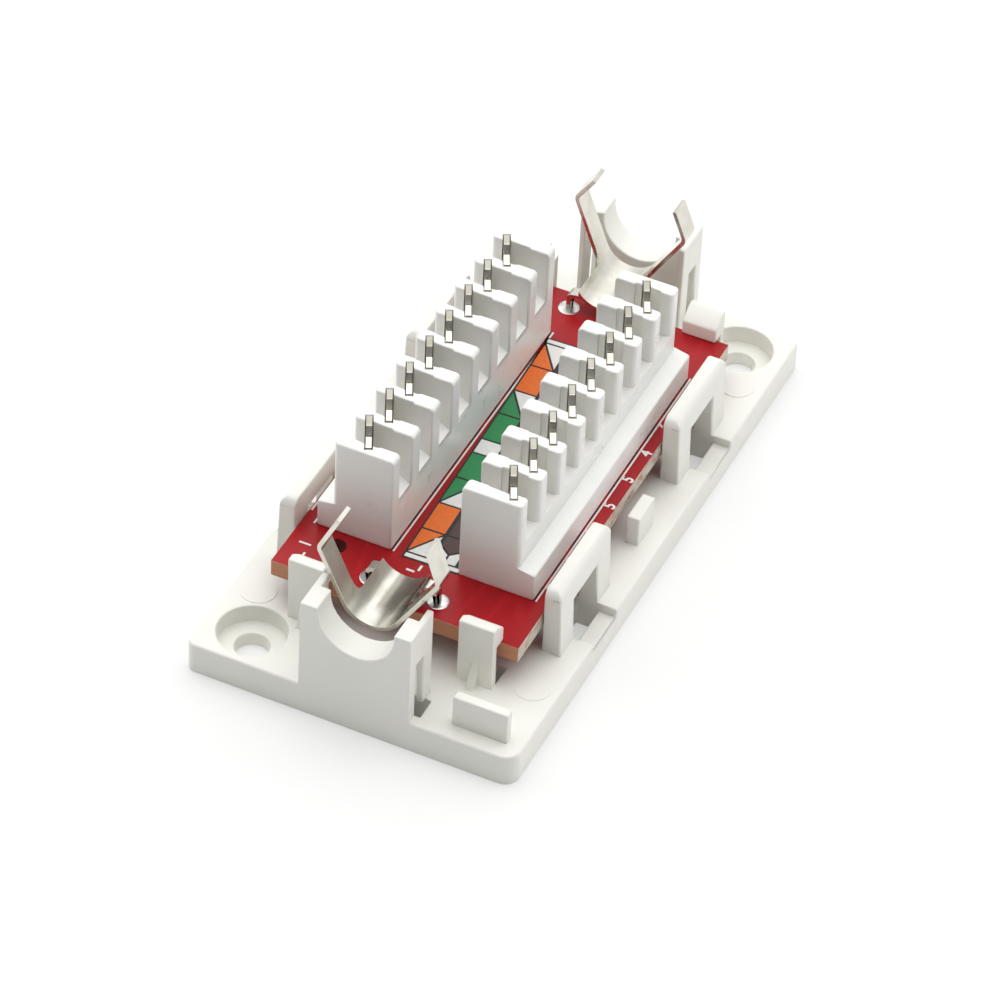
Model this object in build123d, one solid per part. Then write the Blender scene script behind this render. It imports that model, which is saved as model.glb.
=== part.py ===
from build123d import *
from math import asin, atan2, cos, hypot, radians, sin, sqrt
import os

# Connection box base for data cabling, shown with its cover off.
# A moulded base carries a printed circuit board with two rows of insulation displacement contacts,
# and a bent spring clip at each end grips the shield of the cable that comes in there.
# Sizes are in millimetres. The origin is the middle of the underside, +X runs along the short side,
# +Y along the long side away from the first contact, and +Z points up, away from the wall.

# Plate
PLATE_WIDTH = 30.2
PLATE_LENGTH = 59.7
PLATE_THICKNESS = 3.1
PLATE_CORNER = 1.4
PLATE_SCREW_CORNER = 0.8
PLATE_EDGE = 0.25

# Circuit board and what holds it
BOARD_SIDE_MARGIN = 3.7
BOARD_END_MARGIN = 8.25
BOARD_THICKNESS = 1.6
BOARD_UNDERSIDE = 5.6
RAIL_WIDTH = 2.0
RAIL_SETBACK = 4.6
POST_RADIUS = 0.9
POST_INSET = 1.9
LOCATING_HOLE_RADIUS = 0.9
LOCATING_HOLE_X = 7.4
LOCATING_HOLE_BEYOND_BLOCK = 1.64

# Contacts, one every pitch in two rows
WAYS = 8
PITCH = 3.81
ROW_X = 6.64
CONTACT_ANGLE = 25.3
CONTACT_REACH = 2.1
CONTACT_THICKNESS = 0.5
CONTACT_ABOVE_TOWER = 0.12
CONTACT_MOUTH = 1.4
CONTACT_MOUTH_DEPTH = 0.62
CONTACT_SLIT = 0.3
CONTACT_SLIT_BOTTOM = 3.2
CONTACT_TAIL_WIDTH = 0.9
CONTACT_TIP_ROUND = 0.25
TAIL_HOLE_RADIUS = 0.58
TAIL_BELOW_BOARD = 1.4
SOLDER_RADIUS = 1.0
SOLDER_TIP_RADIUS = 0.55
SOLDER_HEIGHT = 1.0

# Terminal blocks
BLOCK_INNER_X = 3.09
BLOCK_OUTER_X = 10.07
BLOCK_END_WALL = 0.62
BLOCK_HEIGHT = 9.75
TOWER_OUTER_X = 8.61
TOWER_THICKNESS = 1.5
TOWER_CORNER = 0.4
TOWER_INNER_ROUND = 0.45
LEDGE_HEIGHT = 2.95
LEDGE_SLOPE = 0.25
GAP_FLOOR = 5.1
GAP_RAMP_DROP = 0.75
GAP_RAMP_LENGTH = 1.2
SLOT_CLEARANCE = 0.11
FACE_RECESS_DEPTH = 0.18
FACE_RECESS_INNER = 1.65
FACE_RECESS_OUTER = 0.75

# Cable seats at the two ends
SEAT_WIDTH = 10.1
SEAT_DEPTH = 4.25
SEAT_TOP = 12.27
SEAT_WALL = 2.65
SEAT_SIDE_WALL = 0.6
NOTCH_RADIUS = 3.45
NOTCH_CENTRE_Z = 11.8
FRONT_SEAT_X = 0.45
REAR_SEAT_X = 0.0
HOOK_SLOT_START = 1.2
HOOK_SLOT_WIDTH = 1.45
HOOK_SLOT_DEPTH = 1.0
HOOK_SLOT_TOP = 8.6
HOOK_HOLE_OVERHANG = 0.5
HOOK_HOLE_WIDTH = 2.1

# Spring clips
CLIP_THICKNESS = 0.4
CLIP_STRIP_WIDTH = 2.0
CLIP_STRIP_INSET = 3.85
CLIP_ARC_RADIUS = 2.8
CLIP_ABOVE_BOARD = 1.1
CLIP_ELBOW_RADIUS = 0.8
CLIP_TONGUE_LENGTH = 4.7
CLIP_TONGUE_ANGLE = 50.0
CLIP_TONGUE_WIDTH = 4.37
CLIP_TONGUE_CORNER = 0.65
CLIP_EAR_LENGTH = 1.1
CLIP_EAR_START = 1.8
CLIP_LEG_X = 3.1
CLIP_LEG_WIDTH = 0.6
CLIP_LEG_KNEE = 1.6
CLIP_LEG_RADIUS = 0.4
CLIP_HOLE_RADIUS = 0.5
# Each clip's arms, as elbow and tip: across from the middle line, and height over the board
FRONT_CLIP_LEFT = ((-4.9, 7.85), (-3.15, 11.5))
FRONT_CLIP_RIGHT = ((5.9, 8.2), (4.8, 11.55))
REAR_CLIP_LEFT = ((-4.9, 8.6), (-3.3, 11.0))
REAR_CLIP_RIGHT = ((5.55, 7.65), (4.4, 10.5))

# Board clips, two at each end: across from the middle line, and which end
BOARD_CLIPS = ((-7.45, -1), (8.22, -1), (-7.45, 1), (8.68, 1))
BOARD_CLIP_WIDTH = 3.25
BOARD_CLIP_STEM = 0.8
BOARD_CLIP_GAP = 0.75
BOARD_CLIP_NOSE = 0.45
BOARD_CLIP_NOSE_HEIGHT = 1.4
BOARD_CLIP_TOP = 9.6
BOARD_CLIP_HOLE_LENGTH = 2.1
GUSSET_WIDTH = 0.7
GUSSET_REACH = 0.95
GUSSET_HEIGHT = 2.4

# Side arches that the cover snaps into, two on each side
ARCH_BOARD_GAP = 0.1
ARCH_THICKNESS = 1.9
ARCH_CENTRE_Y = 12.0
ARCH_LENGTH = 10.0
ARCH_TOP = 10.0
ARCH_ROUND = 0.9
ARCH_DRAFT = 0.4
WINDOW_LENGTH = 4.7
WINDOW_TOP = 7.45
WINDOW_SILL = 2.3

# Small ribs on the plate, set in from its edges
END_RIB_SIDE_INSET = 3.95
END_RIB_INSET = 2.07
END_RIB_LENGTH = 5.0
END_RIB_THICKNESS = 0.95
END_RIB_TOP = 6.2
SIDE_RIB_INSET = 2.3
SIDE_RIB_THICKNESS = 1.2
SIDE_RIB_LENGTH = 3.3
SIDE_RIB_TOP = 6.1

# Screw holes, and the round pads left by the mould's pins at the front left and front right
SCREW_SIDE_INSET = 4.3
SCREW_END_INSET = 3.8
SCREW_HOLE_RADIUS = 1.5
SCREW_RECESS_RADIUS = 3.02
SCREW_RECESS_FLOOR = 1.4
PIN_PAD_RADIUS = 1.6
PIN_PAD_RISE = 0.05
LEFT_PAD_INSETS = (2.5, 8.4)
RIGHT_PAD_INSETS = (2.35, 8.57)

# Places that follow from the sizes above
HALF_WIDTH = PLATE_WIDTH / 2
HALF_LENGTH = PLATE_LENGTH / 2
BOARD_WIDTH = PLATE_WIDTH - 2 * BOARD_SIDE_MARGIN
BOARD_LENGTH = PLATE_LENGTH - 2 * BOARD_END_MARGIN
BOARD_TOP = BOARD_UNDERSIDE + BOARD_THICKNESS
BLOCK_TOP = BOARD_TOP + BLOCK_HEIGHT
BLOCK_HALF_LENGTH = WAYS * PITCH / 2 + BLOCK_END_WALL
CONTACT_ROW = [(way - (WAYS - 1) / 2) * PITCH for way in range(WAYS)]
TAIL_BOTTOM = BOARD_UNDERSIDE - TAIL_BELOW_BOARD
LOCATING_HOLE_Y = BLOCK_HALF_LENGTH + LOCATING_HOLE_BEYOND_BLOCK
STRIP_END = HALF_LENGTH - CLIP_STRIP_INSET
STRIP_START = STRIP_END - CLIP_STRIP_WIDTH
TONGUE_END = STRIP_START - CLIP_TONGUE_LENGTH
CLIP_LEG_Y = TONGUE_END + CLIP_LEG_WIDTH / 2
ARCH_INNER_X = BOARD_WIDTH / 2 + ARCH_BOARD_GAP
SCREW_X = HALF_WIDTH - SCREW_SIDE_INSET
SCREW_Y = HALF_LENGTH - SCREW_END_INSET
PIN_PADS = (
    (LEFT_PAD_INSETS[0] - HALF_WIDTH, LEFT_PAD_INSETS[1] - HALF_LENGTH),
    (HALF_WIDTH - RIGHT_PAD_INSETS[0], RIGHT_PAD_INSETS[1] - HALF_LENGTH),
)
CLEAR = 1.0
NEAR = 0.01


def box_between(low, high):
    """A box from its lowest corner to its highest."""
    size = [b - a for a, b in zip(low, high)]
    centre = [(a + b) / 2 for a, b in zip(low, high)]
    return Pos(*centre) * Box(*size)


def upright(x, y, bottom, top, radius):
    """An upright cylinder."""
    return Pos(x, y, (bottom + top) / 2) * Cylinder(radius, top - bottom)


def across(points, x_start, x_end):
    """A solid whose outline is given as (y, z), from x_start to x_end."""
    face = make_face(Polyline(*[(y, z) for y, z in points], close=True))
    return Pos(x_start, 0, 0) * extrude(Plane.YZ * face, x_end - x_start)


def along(points, y_start, y_end):
    """A solid whose outline is given as (x, z), from y_start to y_end."""
    face = make_face(Polyline(*[(x, z) for x, z in points], close=True))
    return Pos(0, y_end, 0) * extrude(Plane.XZ * face, y_end - y_start)


def half_turn(shape):
    """The same shape, turned half round about the vertical middle line."""
    return Rot(0, 0, 180) * shape


# Moulded base

def plate():
    """The flat plate, with its upper edge and corners rounded, the two at the screws less."""
    slab = extrude(Rectangle(PLATE_WIDTH, PLATE_LENGTH), PLATE_THICKNESS)
    for side, radius in ((1, PLATE_SCREW_CORNER), (-1, PLATE_CORNER)):
        corners = slab.edges().filter_by(Axis.Z)
        slab = fillet([edge for edge in corners if side * edge.center().X * edge.center().Y > 0], radius)
    return fillet(slab.faces().sort_by(Axis.Z)[-1].edges(), PLATE_EDGE)


def cable_seat(centre_x):
    """The front cable seat: a notched wall with a side wall behind each end, and a hook slot each side."""
    front = -HALF_LENGTH
    left = centre_x - SEAT_WIDTH / 2
    right = centre_x + SEAT_WIDTH / 2
    inner_left = left + SEAT_SIDE_WALL
    inner_right = right - SEAT_SIDE_WALL
    seat = box_between((left, front, 0), (right, front + SEAT_DEPTH, SEAT_TOP))
    seat -= box_between(
        (inner_left, front + SEAT_WALL, PLATE_THICKNESS),
        (inner_right, front + SEAT_DEPTH + CLEAR, SEAT_TOP + CLEAR),
    )
    notch = Pos(centre_x, front + SEAT_WALL / 2, NOTCH_CENTRE_Z) * Rot(90, 0, 0) * Cylinder(
        NOTCH_RADIUS, SEAT_WALL + 2 * CLEAR
    )
    seat -= notch
    seat -= box_between(
        (centre_x - NOTCH_RADIUS, front - CLEAR, NOTCH_CENTRE_Z),
        (centre_x + NOTCH_RADIUS, front + SEAT_WALL + CLEAR, SEAT_TOP + CLEAR),
    )
    return seat


def hook_slots(centre_x):
    """The slots for the cover's hooks beside the front seat, and the holes through the plate below them."""
    front = -HALF_LENGTH
    slots = []
    for side in (-1, 1):
        face = centre_x + side * SEAT_WIDTH / 2
        inside = face - side * HOOK_SLOT_DEPTH
        outside = face + side * HOOK_HOLE_OVERHANG
        low_x = min(inside, outside)
        high_x = max(inside, outside)
        start = front + HOOK_SLOT_START
        slots.append(box_between((low_x, start, 0), (high_x, start + HOOK_SLOT_WIDTH, HOOK_SLOT_TOP)))
        slots.append(
            box_between((low_x, start, -CLEAR), (high_x, start + HOOK_HOLE_WIDTH, PLATE_THICKNESS))
        )
    return slots


def board_clip(centre_x, side):
    """One clip over the board's end: a stem, a nose over the board and a gusset on the outside."""
    board_end = BOARD_LENGTH / 2
    inner = board_end + BOARD_CLIP_GAP
    outer = inner + BOARD_CLIP_STEM
    nose_end = board_end - BOARD_CLIP_NOSE
    nose_top = BOARD_TOP + BOARD_CLIP_NOSE_HEIGHT
    outline = [
        (outer, 0),
        (outer, BOARD_CLIP_TOP),
        (inner, BOARD_CLIP_TOP),
        (nose_end, nose_top),
        (nose_end, BOARD_TOP),
        (inner, BOARD_TOP),
        (inner, 0),
    ]
    gusset = [
        (outer, 0),
        (outer + GUSSET_REACH, 0),
        (outer + GUSSET_REACH, PLATE_THICKNESS),
        (outer, PLATE_THICKNESS + GUSSET_HEIGHT),
    ]
    low = centre_x - BOARD_CLIP_WIDTH / 2
    high = centre_x + BOARD_CLIP_WIDTH / 2
    clip = across([(side * y, z) for y, z in outline], low, high)
    clip += across(
        [(side * y, z) for y, z in gusset], centre_x - GUSSET_WIDTH / 2, centre_x + GUSSET_WIDTH / 2
    )
    return clip


def board_clip_hole(centre_x, side):
    """The hole through the plate under a clip's nose."""
    near = BOARD_LENGTH / 2 + BOARD_CLIP_GAP
    far = near - BOARD_CLIP_HOLE_LENGTH
    low_y = min(side * near, side * far)
    high_y = max(side * near, side * far)
    half = BOARD_CLIP_WIDTH / 2
    return box_between((centre_x - half, low_y, -CLEAR), (centre_x + half, high_y, PLATE_THICKNESS + CLEAR))


def side_arch(centre_y):
    """One arch on the right-hand side, leaning in a little, with its top corners and outer edge rounded."""
    outer = ARCH_INNER_X + ARCH_THICKNESS
    outline = [(ARCH_INNER_X, 0), (outer, 0), (outer - ARCH_DRAFT, ARCH_TOP), (ARCH_INNER_X, ARCH_TOP)]
    arch = along(outline, centre_y - ARCH_LENGTH / 2, centre_y + ARCH_LENGTH / 2)
    top = arch.faces().sort_by(Axis.Z)[-1]
    short_edges = top.edges().filter_by(Axis.X)
    outer_edge = top.edges().filter_by(Axis.Y).sort_by(Axis.X)[-1]
    return fillet(short_edges + [outer_edge], ARCH_ROUND)


def arch_window(centre_y):
    """The window through an arch on the right, the pocket outside it and the hole through the plate."""
    low_y = centre_y - WINDOW_LENGTH / 2
    high_y = centre_y + WINDOW_LENGTH / 2
    window = box_between(
        (ARCH_INNER_X - CLEAR, low_y, WINDOW_SILL), (HALF_WIDTH + CLEAR, high_y, WINDOW_TOP)
    )
    hole = box_between(
        (ARCH_INNER_X, low_y, -CLEAR), (ARCH_INNER_X + ARCH_THICKNESS, high_y, WINDOW_SILL + CLEAR)
    )
    return window + hole


def moulded_base():
    """The whole moulding."""
    base = plate()
    base += cable_seat(FRONT_SEAT_X)
    base += half_turn(cable_seat(-REAR_SEAT_X))
    base += [board_clip(centre_x, side) for centre_x, side in BOARD_CLIPS]
    arches = [side_arch(-ARCH_CENTRE_Y), side_arch(ARCH_CENTRE_Y)]
    base += arches + [half_turn(arch) for arch in arches]
    end_rib = Pos(HALF_WIDTH - END_RIB_SIDE_INSET, END_RIB_INSET - HALF_LENGTH, END_RIB_TOP / 2) * Box(
        END_RIB_LENGTH, END_RIB_THICKNESS, END_RIB_TOP
    )
    side_rib = Pos(HALF_WIDTH - SIDE_RIB_INSET, 0, SIDE_RIB_TOP / 2) * Box(
        SIDE_RIB_THICKNESS, SIDE_RIB_LENGTH, SIDE_RIB_TOP
    )
    base += [end_rib, half_turn(end_rib), side_rib, half_turn(side_rib)]
    rail_end = BOARD_LENGTH / 2 - RAIL_SETBACK
    base += box_between((-RAIL_WIDTH / 2, -rail_end, 0), (RAIL_WIDTH / 2, rail_end, BOARD_UNDERSIDE))
    post_x = BOARD_WIDTH / 2 - POST_INSET
    for x in (-post_x, post_x):
        for y in (-ARCH_CENTRE_Y, ARCH_CENTRE_Y):
            base += upright(x, y, 0, BOARD_UNDERSIDE, POST_RADIUS)
    pads = [upright(x, y, 0, PLATE_THICKNESS + PIN_PAD_RISE, PIN_PAD_RADIUS) for x, y in PIN_PADS]
    base += pads + [half_turn(pad) for pad in pads]
    return cut_base(base)


def cut_base(base):
    """The moulding with its holes, slots and windows cut."""
    windows = [arch_window(-ARCH_CENTRE_Y), arch_window(ARCH_CENTRE_Y)]
    base -= windows + [half_turn(window) for window in windows]
    base -= hook_slots(FRONT_SEAT_X)
    base -= [half_turn(slot) for slot in hook_slots(-REAR_SEAT_X)]
    base -= [board_clip_hole(centre_x, side) for centre_x, side in BOARD_CLIPS]
    pad_x, pad_y = PIN_PADS[0]
    pad = upright(pad_x, pad_y, 0, PLATE_THICKNESS + PIN_PAD_RISE, PIN_PAD_RADIUS)
    recess = upright(
        -SCREW_X, -SCREW_Y, SCREW_RECESS_FLOOR, PLATE_THICKNESS + CLEAR, SCREW_RECESS_RADIUS
    )
    recess -= pad
    hole = upright(-SCREW_X, -SCREW_Y, -CLEAR, PLATE_THICKNESS, SCREW_HOLE_RADIUS)
    base -= [recess, hole, half_turn(recess), half_turn(hole)]
    return base


# Circuit board

def circuit_board():
    """The board with a hole for each contact's tail and each clip's leg, and its locating holes."""
    board = box_between(
        (-BOARD_WIDTH / 2, -BOARD_LENGTH / 2, BOARD_UNDERSIDE), (BOARD_WIDTH / 2, BOARD_LENGTH / 2, BOARD_TOP)
    )
    holes = [(x, y, TAIL_HOLE_RADIUS) for x in (-ROW_X, ROW_X) for y in CONTACT_ROW]
    holes += [(x, y, CLIP_HOLE_RADIUS) for x in (-CLIP_LEG_X, CLIP_LEG_X) for y in (-CLIP_LEG_Y, CLIP_LEG_Y)]
    holes += [(side * LOCATING_HOLE_X, side * LOCATING_HOLE_Y, LOCATING_HOLE_RADIUS) for side in (-1, 1)]
    low = BOARD_UNDERSIDE - CLEAR
    high = BOARD_TOP + CLEAR
    board -= [upright(x, y, low, high, radius) for x, y, radius in holes]
    return board


# Terminal blocks

def contact_frame(x, y):
    """The place of a contact: its X runs along the flat plate, and its origin is at board height."""
    return Pos(x, y, BOARD_TOP) * Rot(0, 0, 90 + CONTACT_ANGLE)


def contact_slot(y):
    """The slot that a contact stands in, from the board up through the two towers beside it."""
    length = 2 * (CONTACT_REACH + SLOT_CLEARANCE)
    width = CONTACT_THICKNESS + 2 * SLOT_CLEARANCE
    height = BLOCK_HEIGHT + 2 * CLEAR
    return contact_frame(ROW_X, y) * Pos(0, 0, BLOCK_HEIGHT / 2) * Box(length, width, height)


def wire_gap(y):
    """The gap between two towers, with the ramp at its inner end and the shallow recess in its sides."""
    half = (PITCH - TOWER_THICKNESS) / 2
    floor = BOARD_TOP + GAP_FLOOR
    top = BLOCK_TOP + CLEAR
    outline = [
        (BLOCK_INNER_X - CLEAR, floor - GAP_RAMP_DROP),
        (BLOCK_INNER_X, floor - GAP_RAMP_DROP),
        (BLOCK_INNER_X + GAP_RAMP_LENGTH, floor),
        (TOWER_OUTER_X + CLEAR, floor),
        (TOWER_OUTER_X + CLEAR, top),
        (BLOCK_INNER_X - CLEAR, top),
    ]
    gap = along(outline, y - half, y + half)
    gap += box_between(
        (ROW_X - FACE_RECESS_INNER, y - half - FACE_RECESS_DEPTH, floor),
        (ROW_X + FACE_RECESS_OUTER, y + half + FACE_RECESS_DEPTH, top),
    )
    return gap


def terminal_block():
    """The right-hand block: a body with a low outer ledge and a row of towers."""
    ledge_top = BOARD_TOP + LEDGE_HEIGHT
    outline = [
        (BLOCK_INNER_X, BOARD_TOP),
        (BLOCK_OUTER_X, BOARD_TOP),
        (BLOCK_OUTER_X, ledge_top - LEDGE_SLOPE),
        (TOWER_OUTER_X, ledge_top),
        (TOWER_OUTER_X, BLOCK_TOP),
        (BLOCK_INNER_X, BLOCK_TOP),
    ]
    block = along(outline, -BLOCK_HALF_LENGTH, BLOCK_HALF_LENGTH)
    top_face = block.faces().sort_by(Axis.Z)[-1]
    inner_edge = top_face.edges().filter_by(Axis.Y).sort_by(Axis.X)[0]
    block = fillet(inner_edge, TOWER_INNER_ROUND)
    block -= [wire_gap(y) for y in CONTACT_ROW]
    outer_corners = (
        block.edges()
        .filter_by(Axis.Z)
        .filter_by_position(Axis.X, TOWER_OUTER_X - NEAR, TOWER_OUTER_X + NEAR)
    )
    block = fillet(outer_corners, TOWER_CORNER)
    block -= [contact_slot(y) for y in CONTACT_ROW]
    return block


# Contacts

def contact_blade():
    """A flat fork on its shoulders, with a V mouth, a slit and one tail, standing on the X axis."""
    top = BLOCK_HEIGHT + CONTACT_ABOVE_TOWER
    half_tail = CONTACT_TAIL_WIDTH / 2
    half_slit = CONTACT_SLIT / 2
    mouth_bottom = top - CONTACT_MOUTH_DEPTH
    tail = -(BOARD_THICKNESS + TAIL_BELOW_BOARD)
    right_side = [
        (half_tail, tail),
        (half_tail, 0),
        (CONTACT_REACH, 0),
        (CONTACT_REACH, top),
        (CONTACT_MOUTH / 2, top),
        (half_slit, mouth_bottom),
        (half_slit, CONTACT_SLIT_BOTTOM),
    ]
    left_side = [(-x, z) for x, z in reversed(right_side)]
    blade = along(right_side + left_side, -CONTACT_THICKNESS / 2, CONTACT_THICKNESS / 2)
    corners = blade.edges().filter_by(Axis.Y).filter_by_position(Axis.Z, top - NEAR, top + NEAR)
    outer = [corners.sort_by(Axis.X)[0], corners.sort_by(Axis.X)[-1]]
    return fillet(outer, CONTACT_TIP_ROUND)


def solder_joint(tail, x, y):
    """A cone of solder round a tail under the board."""
    bottom = BOARD_UNDERSIDE - SOLDER_HEIGHT
    cone = Pos(x, y, bottom + SOLDER_HEIGHT / 2) * Cone(SOLDER_TIP_RADIUS, SOLDER_RADIUS, SOLDER_HEIGHT)
    return cone - tail


# Spring clips

def unit(a, b):
    """The direction from a to b."""
    length = hypot(b[0] - a[0], b[1] - a[1])
    return ((b[0] - a[0]) / length, (b[1] - a[1]) / length)


def shifted(points, distance):
    """The corners of an open line moved sideways, so that each stretch stays parallel."""
    moved = []
    for index, point in enumerate(points):
        before = unit(points[index - 1], point) if index > 0 else None
        after = unit(point, points[index + 1]) if index < len(points) - 1 else None
        first = before or after
        last = after or before
        normal = (-(first[1] + last[1]) / 2, (first[0] + last[0]) / 2)
        scale = distance / (normal[0] ** 2 + normal[1] ** 2)
        moved.append((point[0] + normal[0] * scale, point[1] + normal[1] * scale))
    return moved


def bent_strip(points, radii, y_start, y_end):
    """Sheet metal bent along a line of (x, z) corners, which all turn to the left."""
    half = CLIP_THICKNESS / 2
    inner = FilletPolyline(*shifted(points, half), radius=[radius - half for radius in radii])
    outer = FilletPolyline(*shifted(points, -half), radius=[radius + half for radius in radii])
    ends = [Line(inner @ 0, outer @ 0), Line(inner @ 1, outer @ 1)]
    face = make_face([inner, outer] + ends)
    return Pos(0, y_end, 0) * extrude(Plane.XZ * face, y_end - y_start)


def below_circle(elbow, centre, radius, side):
    """The direction of the line that starts at an elbow and passes just outside the circle."""
    towards = atan2(centre[1] - elbow[1], centre[0] - elbow[0])
    swing = asin(radius / hypot(centre[0] - elbow[0], centre[1] - elbow[1]))
    angle = towards + side * swing
    return (cos(angle), sin(angle))


def meeting_point(a, direction_a, b, direction_b):
    """Where two lines cross."""
    cross = direction_a[0] * direction_b[1] - direction_a[1] * direction_b[0]
    step = ((b[0] - a[0]) * direction_b[1] - (b[1] - a[1]) * direction_b[0]) / cross
    return (a[0] + direction_a[0] * step, a[1] + direction_a[1] * step)


def spring_clip(left_arm, right_arm, side):
    """A clip at the front (side -1) or the rear (side 1): two arms, a trough and two soldered legs."""
    floor = BOARD_TOP + CLIP_ABOVE_BOARD
    centre = (0, floor + CLIP_ARC_RADIUS)
    left_elbow, left_tip = [(x, BOARD_TOP + z) for x, z in left_arm]
    right_elbow, right_tip = [(x, BOARD_TOP + z) for x, z in right_arm]
    bottom = meeting_point(
        left_elbow,
        below_circle(left_elbow, centre, CLIP_ARC_RADIUS, -1),
        right_elbow,
        below_circle(right_elbow, centre, CLIP_ARC_RADIUS, 1),
    )
    line = [left_tip, left_elbow, bottom, right_elbow, right_tip]
    radii = [CLIP_ELBOW_RADIUS, CLIP_ARC_RADIUS, CLIP_ELBOW_RADIUS]
    ring = bent_strip(line, radii, STRIP_START, STRIP_END)
    corner_start = STRIP_START - CLIP_TONGUE_CORNER
    corners = bent_strip(line, radii, corner_start, STRIP_START + CLIP_STRIP_WIDTH / 4)
    reach = CLIP_TONGUE_WIDTH / 2 + CLIP_TONGUE_CORNER
    corners &= box_between((-reach, corner_start, 0), (reach, STRIP_END, SEAT_TOP))
    corners -= [upright(x, corner_start, 0, SEAT_TOP, CLIP_TONGUE_CORNER) for x in (-reach, reach)]
    ring += [corners, clip_tongue(centre)]
    return ring if side > 0 else mirror(ring, Plane.XZ)


def clip_tongue(centre):
    """The trough from the strip to the board, and the ear each side of its end that holds a leg."""
    slope = radians(CLIP_TONGUE_ANGLE)
    low_point = (0, centre[1] - CLIP_ARC_RADIUS / cos(slope))
    rim = (CLIP_LEG_X, low_point[1] + CLIP_LEG_X * sin(slope) / cos(slope))
    half_width = CLIP_TONGUE_WIDTH / 2
    overlap = STRIP_START + CLIP_STRIP_WIDTH / 4
    trough = bent_strip([(-rim[0], rim[1]), low_point, rim], [CLIP_ARC_RADIUS], TONGUE_END, overlap)
    trough &= box_between((-half_width, TONGUE_END, 0), (half_width, overlap, SEAT_TOP))
    shoulder = (CLIP_EAR_START, centre[1] - sqrt(CLIP_ARC_RADIUS**2 - CLIP_EAR_START**2))
    knee = (CLIP_LEG_X, BOARD_TOP + CLIP_LEG_KNEE)
    foot = (CLIP_LEG_X, TAIL_BOTTOM)
    leg_end = TONGUE_END + CLIP_LEG_WIDTH
    ear_end = TONGUE_END + CLIP_EAR_LENGTH
    ear = bent_strip([foot, knee, shoulder], [CLIP_LEG_RADIUS], TONGUE_END, ear_end)
    ear -= box_between(
        (CLIP_LEG_X - CLEAR, leg_end, 0), (CLIP_LEG_X + CLEAR, ear_end, knee[1] - CLIP_LEG_RADIUS)
    )
    return trough + ear + mirror(ear, Plane.YZ)


# Assembly

def all_parts():
    """Every piece under its own name, in its place."""
    block = terminal_block()
    parts = {
        "base": moulded_base(),
        "circuit_board": circuit_board(),
        "terminal_block_left": half_turn(block),
        "terminal_block_right": block,
    }
    blade = contact_blade()
    joints = []
    for row, x in (("left", -ROW_X), ("right", ROW_X)):
        for way, y in enumerate(CONTACT_ROW, start=1):
            contact = contact_frame(x, y) * blade
            parts[f"idc_contact_{row}_{way}"] = contact
            joints.append(solder_joint(contact, x, y))
    clips = {
        "shield_clip_front": spring_clip(FRONT_CLIP_LEFT, FRONT_CLIP_RIGHT, -1),
        "shield_clip_rear": spring_clip(REAR_CLIP_LEFT, REAR_CLIP_RIGHT, 1),
    }
    parts.update(clips)
    for clip, side in zip(clips.values(), (-1, 1)):
        for x in (-CLIP_LEG_X, CLIP_LEG_X):
            joints.append(solder_joint(clip, x, side * CLIP_LEG_Y))
    parts["solder_joints"] = Compound(children=joints)
    return parts


os.makedirs("parts", exist_ok=True)
for name, part in all_parts().items():
    export_step(part, os.path.join("parts", name + ".step"))
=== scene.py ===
from math import atan2, cos, pi, radians, sin

import bmesh
import bpy
from bpy.props import FloatProperty, FloatVectorProperty, PointerProperty
from mathutils import Matrix, Vector


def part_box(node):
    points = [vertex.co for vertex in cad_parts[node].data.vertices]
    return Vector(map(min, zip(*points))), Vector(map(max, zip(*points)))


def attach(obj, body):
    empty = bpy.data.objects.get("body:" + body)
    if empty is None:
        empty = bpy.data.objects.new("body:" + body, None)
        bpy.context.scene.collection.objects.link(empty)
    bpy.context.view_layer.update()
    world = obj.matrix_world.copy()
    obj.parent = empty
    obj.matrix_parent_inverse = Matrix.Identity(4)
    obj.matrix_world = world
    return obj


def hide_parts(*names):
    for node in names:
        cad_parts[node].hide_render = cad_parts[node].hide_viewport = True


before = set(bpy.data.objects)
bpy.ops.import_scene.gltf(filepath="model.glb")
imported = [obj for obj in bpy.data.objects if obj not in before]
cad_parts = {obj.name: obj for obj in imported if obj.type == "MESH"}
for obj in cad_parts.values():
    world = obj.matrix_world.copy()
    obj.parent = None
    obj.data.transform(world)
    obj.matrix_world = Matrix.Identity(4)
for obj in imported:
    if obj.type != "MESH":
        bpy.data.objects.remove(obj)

# Dresses the connection box base: softened mouldings, plated contacts, a printed board, a studio.
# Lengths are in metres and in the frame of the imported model, with +Y along the long side and
# +Z away from the wall that the base is screwed to.

bl_info = {
    "name": "Connection box base",
    "version": (1, 0, 0),
    "blender": (4, 5, 0),
    "location": "View3D > Sidebar > Box base",
    "description": "Finishes, board print and studio for a data cable connection box base",
    "category": "Object",
}

MM = 0.001
BOARD_LOW, BOARD_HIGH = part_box("circuit_board")
BLOCK_LOW, BLOCK_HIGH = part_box("terminal_block_right")
CONTACT_LOW, CONTACT_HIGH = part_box("idc_contact_right_1")
CONTACT_X = (CONTACT_LOW.x + CONTACT_HIGH.x) / 2
FIRST_CONTACT_Y = (CONTACT_LOW.y + CONTACT_HIGH.y) / 2
WAYS = 8
PITCH = -2 * FIRST_CONTACT_Y / (WAYS - 1)
MERGE_DISTANCE = 1e-7

# Faces that meet at less than the flat angle are one face, and at more than the corner angle they
# make a corner
FLAT_ANGLE = radians(0.5)
CORNER_ANGLE = radians(40)
# How far an upright face's normal may rise, and how far that of a face on top does
UPRIGHT = 0.1
ON_TOP = 0.9
# The turn of the contacts' slots, and the smallest wall that counts as a slot's
SLOT_ANGLE = radians(25.3)
SLOT_MARGIN = radians(0.7)
SLOT_WALL_AREA = MM * MM
STEP_WIDTH = 0.3 * MM


# Sizes and colours that a user would change

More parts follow.
